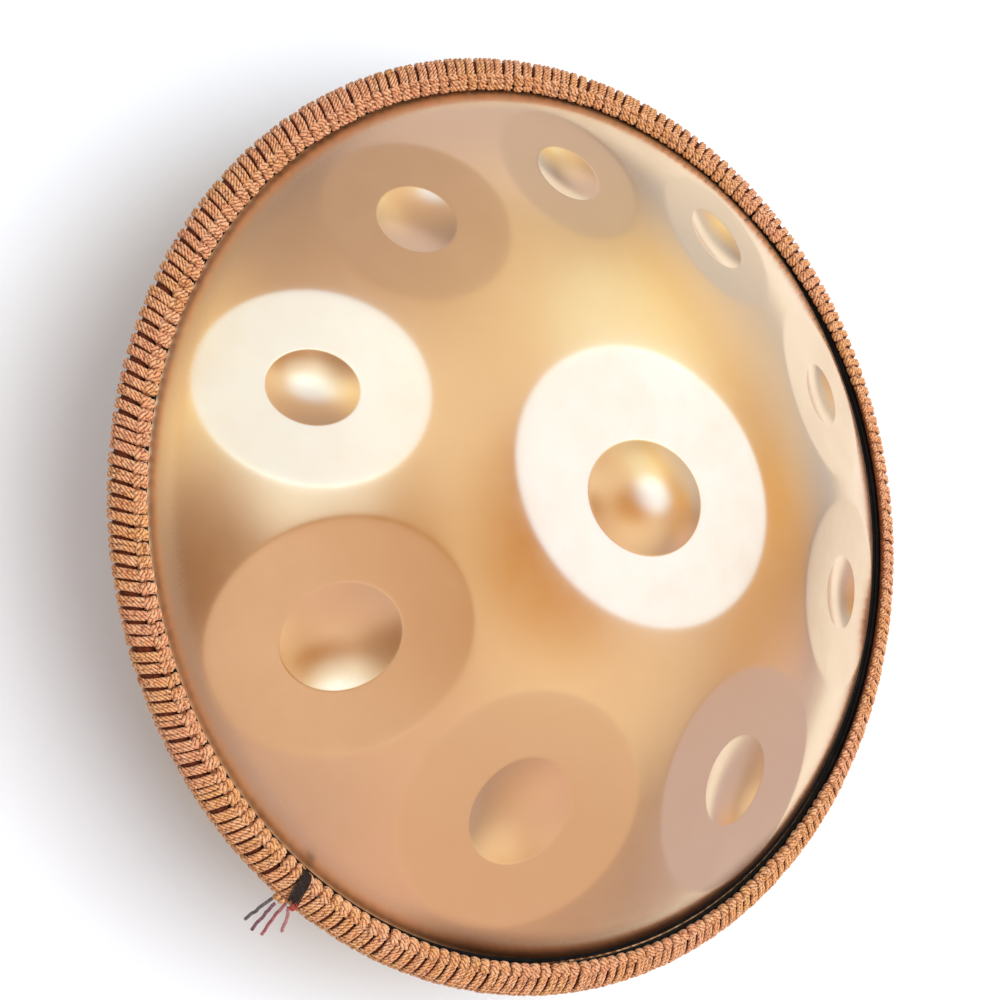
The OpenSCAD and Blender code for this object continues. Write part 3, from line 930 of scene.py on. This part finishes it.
def make_red_binding():
    """Turns of red thread on the outside of the rope below the black ones."""
    yarns = Strands()
    for k in range(3):
        theta = RED_BEARING + (k - 1) * 1.15 * MM / ROPE_RADIUS
        path, outward = over_rope(theta, None, 50, -12 + rng.normal(0, 4),
                                  0.35 * MM, math.radians(0.35), 12)
        yarns.add(path, outward, THREAD_HALF, THREAD_HALF, rng.random(), lay=THREAD_LAY,
                  groove=THREAD_GROOVE, round_ends=THREAD_HALF)
    return settle(yarns.piece("red_binding", [RED_THREAD]), "red_thread", "red_thread_turn")


def make_cord_end():
    """The end of the wrapping cord, folded out of the rope as a short bulge."""
    low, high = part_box("cord_end_knot")
    middle = (low + high) / 2
    theta = math.atan2(middle.y, middle.x)
    out = Vector((math.cos(theta), math.sin(theta), 0))
    along = Vector((-math.sin(theta), math.cos(theta), 0))
    yarns = Strands()
    for shift, rise in ((-1.5, 0.6), (1.5, 1.6)):
        t = np.linspace(-1, 1, 13)
        path = np.array([tuple(Vector(middle) + out * (1.1 * (1 - k * k) - 1.2) * MM
                               + Vector((0, 0, 1)) * (3.6 * k + rise) * MM
                               + along * (shift - 0.6 * k) * MM) for k in t])
        outward = np.tile(out, (len(t), 1))
        yarns.add(path, outward, 1.6 * MM, 1.5 * MM, rng.random(), lay=CORD_LAY, groove=GROOVE,
                  round_ends=1.2 * MM)
    return settle(yarns.piece("cord_end", [CORD]), "rim_cord", "cord_end_knot")


make_black_binding()
make_red_binding()
make_cord_end()


# ---------------------------------------------------------------- rubber channel
LIP_STEPS = 480
LIP_ACROSS = 9
LIP_INNER = DOME_RADIUS - 0.3 * MM
LIP_EXTRA = 1.5 * MM
LIP_OUTER = FLANGE_RADIUS - 11.2 * MM
LIP_SHORT = 1.0 * MM
LIP_THICK = 0.3 * MM
# Middle bearing, half width and fade of the wider part and of the part with bare steel beside it, in degrees
LIP_WIDE_PART = (45, 50, 30)
LIP_BARE_PART = (12, 22, 12)
LEG_INNER = FLANGE_RADIUS - 11.0 * MM
FACE_GAP = 0.02 * MM


def near_bearing(bearing, middle, half, fade):
    """1 within half of the middle bearing, falling to 0 over the fade outside it, in degrees."""
    off = abs((math.degrees(bearing) - middle + 180) % 360 - 180)
    return float(ease((half + fade - off) / fade))


def rubber_lip(bearing):
    """Inner and outer radius of the thin lip: wider on one side, and bare steel shows beside it there."""
    return (LIP_INNER - LIP_EXTRA * near_bearing(bearing, *LIP_WIDE_PART),
            LIP_OUTER - LIP_SHORT * near_bearing(bearing, *LIP_BARE_PART))


def make_rubber_channel():
    """The rubber channel over the flange's edge, with a thin lip that runs up each shell's shoulder."""
    low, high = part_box("edge_channel")
    outer, top = high.x, (high.z - low.z) / 2
    soft = 0.35 * MM
    bevel = 0.3 * soft
    leg = [(LEG_INNER, FLANGE_FACE + FACE_GAP), (LEG_INNER, top - soft), (LEG_INNER + bevel, top - bevel),
           (LEG_INNER + soft, top), (outer - soft, top), (outer - bevel, top - bevel), (outer, top - soft)]
    outline = (leg + [(r, -z) for r, z in leg[::-1]]
               + [(FLANGE_RADIUS, FACE_GAP - FLANGE_FACE), (FLANGE_RADIUS, FLANGE_FACE - FACE_GAP)])
    ring, faces = lathe(outline[::-1], LIP_STEPS)
    points = [ring]
    base = len(ring)
    for side in (1, -1):
        rows = []
        for i in range(LIP_STEPS):
            bearing = TURN * i / LIP_STEPS
            radii = np.linspace(*rubber_lip(bearing), LIP_ACROSS)
            under = skin(radii, UPPER_CROWN if side > 0 else LOWER_CROWN)
            over = under + LIP_THICK * np.sin(np.linspace(0.12, math.pi - 0.3, LIP_ACROSS)) ** 0.6
            section = list(zip(radii, over)) + list(zip(radii[::-1], under[::-1] - FACE_GAP))
            rows += [(r * math.cos(bearing), r * math.sin(bearing), side * h) for r, h in section]
        n = 2 * LIP_ACROSS
        for i in range(LIP_STEPS):
            for k in range(n):
                a, b = i * n + k, i * n + (k + 1) % n
                c, d = (i + 1) % LIP_STEPS * n + (k + 1) % n, (i + 1) % LIP_STEPS * n + k
                quad = (a, b, c, d) if side < 0 else (d, c, b, a)
                faces.append(tuple(base + j for j in quad))
        points.append(np.array(rows) + np.array(JOINT))
        base += len(rows)
    piece = new_piece("rubber_channel", np.vstack(points), faces, [RUBBER])
    piece.data.set_sharp_from_angle(angle=math.radians(50))
    return settle(piece, "rubber_trim", "edge_channel")


make_rubber_channel()


# ---------------------------------------------------------------- carried CAD nodes
CARRIED = {"rim_adhesive": GLUE, "upper_filler_cord": SHADED_FILLER, "lower_filler_cord": SHADED_FILLER}
for node_name, look in CARRIED.items():
    node_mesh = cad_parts[node_name].data
    node_mesh.materials.clear()
    node_mesh.materials.append(look)


# ---------------------------------------------------------------- floor and light
def floor_look(g):
    """Plain, very pale matt floor."""
    place = g.add("ShaderNodeTexCoord").outputs["Object"]
    colour = g.mix(g.noise(place, 3, 2), rgb(0.78, 0.87, 0.94), rgb(0.80, 0.885, 0.955))
    return {"Base Color": colour}


def make_floor():
    half = 6.0
    corners = [(-half, -half, 0), (half, -half, 0), (half, half, 0), (-half, half, 0)]
    floor = new_piece("studio_floor", corners, [(0, 1, 2, 3)],
                      [make_material("pale_floor", floor_look, **{"Roughness": 0.9})])


LOW_WALLS = rgb(0.37, 0.31, 0.35)
CEILING = rgb(0.81, 0.61, 0.47)
DARKEST = 0.02
# Soft boxes, soft walls and dark cards, with negative colours: bearing, elevation, full and outer half
# angles in degrees, and the colour added
SOFT_LIGHTS = [
    (94, 51, 7, 18, (0.54, 1.12, 2.10)),
    (118, 42, 4, 18, (0.15, 0.36, 0.41)),
    (213, 55, 8, 17, (0.22, 0.64, 1.37)),
    (226, 44, 4, 14, (0.20, 0.32, 0.28)),
    (238, 64, 5, 18, (0.42, 0.71, 0.96)),
    (130, 36, 6, 32, (0.27, 0.29, 0.20)),
    (225, 24, 6, 26, (0.42, 0.35, 0.14)),
    (105, 22, 5, 28, (0.24, 0.09, -0.18)),
    (180, 78, 5, 32, (0.21, 0.26, 0.24)),
    (45, 55, 6, 28, (0.27, 0.29, 0.26)),
    (270, 76, 4, 20, (-0.40, -0.50, -0.53)),
    (270, 42, 4, 20, (-0.31, -0.31, -0.30)),
    (303, 65, 4, 14, (0.10, 0.14, 0.16)),
    (244, 18, 5, 15, (0.42, 0.40, 0.28)),
    (75, 24, 4, 20, (0.22, 0.09, -0.08)),
    (0, 6, 10, 45, (0.26, 0.14, 0.06)),
    (55, 6, 6, 26, (0.30, 0.27, 0.36)),
    (105, 2, 8, 30, (0.22, 0.38, 0.60)),
    (155, 9, 6, 24, (0.37, 0.35, 0.42)),
    (330, 35, 10, 45, (0.12, 0.09, 0.15)),
    (80, 68, 4, 20, (-0.32, -0.49, -0.60)),
]


def make_world():
    """Even, warm room light with soft boxes and dark cards in it."""
    world = bpy.data.worlds.new("studio")
    bpy.context.scene.world = world
    world.use_nodes = True
    g = Graph(world.node_tree)
    ray = g.add("ShaderNodeTexCoord").outputs["Generated"]
    height = g.add("ShaderNodeSeparateXYZ", {0: ray}).outputs[2]
    light = g.mix(g.spread(height, 0.1, 0.95), LOW_WALLS, CEILING)
    for bearing, elevation, full, outer, colour in SOFT_LIGHTS:
        facing = g.vector("DOT_PRODUCT", ray, direction(bearing, elevation))
        glow = g.spread(facing, math.cos(math.radians(outer)), math.cos(math.radians(full)))
        light = g.vector("ADD", light, g.scale(colour, glow))
    light = g.vector("MAXIMUM", light, (DARKEST, DARKEST, DARKEST))
    back = g.add("ShaderNodeBackground", {"Color": light, "Strength": 1.0})
    out = g.add("ShaderNodeOutputWorld")
    g.tree.links.new(back.outputs[0], out.inputs[0])


LAMP_PLACE = (0.3, 0.6, 2.6)
LAMP_SIZE = 3.0
LAMP_WATTS = 62


def make_lamp(name, place, aim, size, power):
    """A large soft area light that lights cloth and floor but isn't mirrored in the steel."""
    data = bpy.data.lights.new(name, "AREA")
    data.shape = "DISK"
    data.size = size
    data.energy = power
    lamp = bpy.data.objects.new(name, data)
    lamp.location = place
    lamp.rotation_mode = "QUATERNION"
    lamp.rotation_quaternion = (Vector(aim) - Vector(place)).to_track_quat("-Z", "Y")
    lamp.visible_glossy = False
    lamp.visible_camera = False
    bpy.context.scene.collection.objects.link(lamp)


make_floor()
make_world()
make_lamp("top_fill", LAMP_PLACE, (0, 0, 0), LAMP_SIZE, LAMP_WATTS)
bpy.context.scene.view_settings.view_transform = "Standard"
